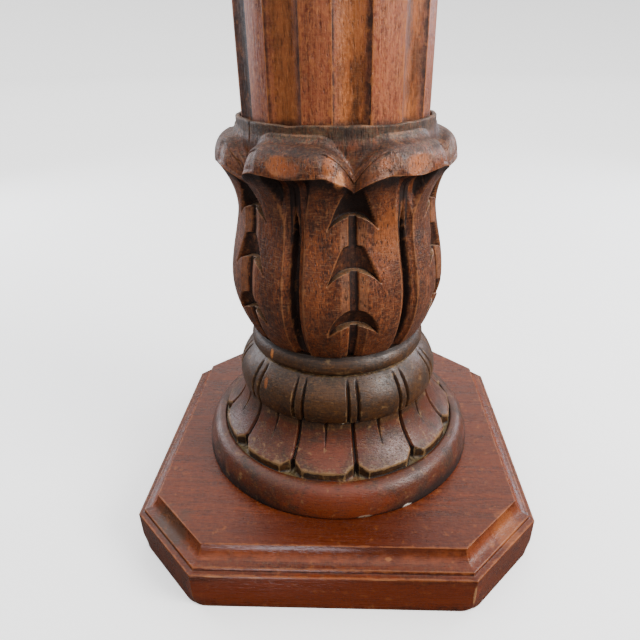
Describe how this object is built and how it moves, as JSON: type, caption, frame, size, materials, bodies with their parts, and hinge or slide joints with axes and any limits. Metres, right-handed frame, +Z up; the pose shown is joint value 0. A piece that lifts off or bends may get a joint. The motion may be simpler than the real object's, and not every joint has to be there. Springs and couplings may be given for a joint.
{
  "type": "fluted column pedestal",
  "caption": "Carved stained-wood pedestal: square plinth with cut corners, turned foot with petals, cup of curled leaves, fluted round shaft, plain capital and top board for a display piece",
  "frame": {"origin": "middle of the plinth's underside, where the pedestal stands on the floor", "axes": "+Z up along the column, -Y out of the front side of the plinth, +X to the right seen from the front"},
  "size_m": [0.3, 0.3, 0.915],
  "materials": {
    "plinth_wood": "red-brown stain under a worn semi-gloss varnish, grain along X",
    "foot_wood": "dark brown stain with grime in the cuts and rubbed edges",
    "cup_wood": "red-brown stain, orange where rubbed, dark grime in the carving",
    "shaft_wood": "red-brown stain, mottled orange in the flutes, upright grain",
    "capital_wood": "dark red-brown stain under a worn semi-gloss varnish",
    "board_wood": "red-brown stain under a worn semi-gloss varnish, grain along X"
  },
  "bodies": {
    "root": {"plinth": "plinth_wood", "foot": "foot_wood", "leaf_cup": "cup_wood", "fluted_shaft": "shaft_wood", "capital": "capital_wood", "top_board": "board_wood"}
  },
  "joints": []
}
